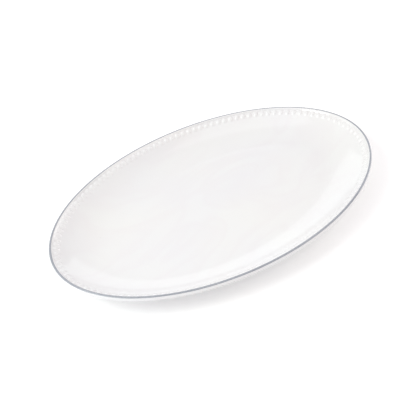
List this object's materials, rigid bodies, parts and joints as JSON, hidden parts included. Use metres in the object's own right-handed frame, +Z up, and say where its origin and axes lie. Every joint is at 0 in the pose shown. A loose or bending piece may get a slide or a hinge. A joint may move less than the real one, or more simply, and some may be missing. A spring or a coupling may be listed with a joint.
{
  "type": "oval serving platter",
  "caption": "Oval white china serving platter with a coved wall, a raised beaded border inside the lip, a thin painted edge line and an oval foot ring.",
  "frame": {"origin": "centre of the platter on the plane of the foot ring's bearing face", "axes": "+X along the length, +Y across the width, +Z up out of the dish"},
  "size_m": [0.3674, 0.26, 0.027],
  "materials": {
    "glaze": "clear gloss glaze over white china",
    "foot": "glazed flanks with a smooth bare bearing face",
    "bead_glaze": "clear gloss glaze, thinner over the beads' crowns",
    "edge_enamel": "fired-on blue-grey enamel line, glossy"
  },
  "bodies": {
    "root": {"body": "glaze", "foot_ring": "foot", "bead_border": "bead_glaze", "edge_line": "edge_enamel"}
  },
  "joints": []
}
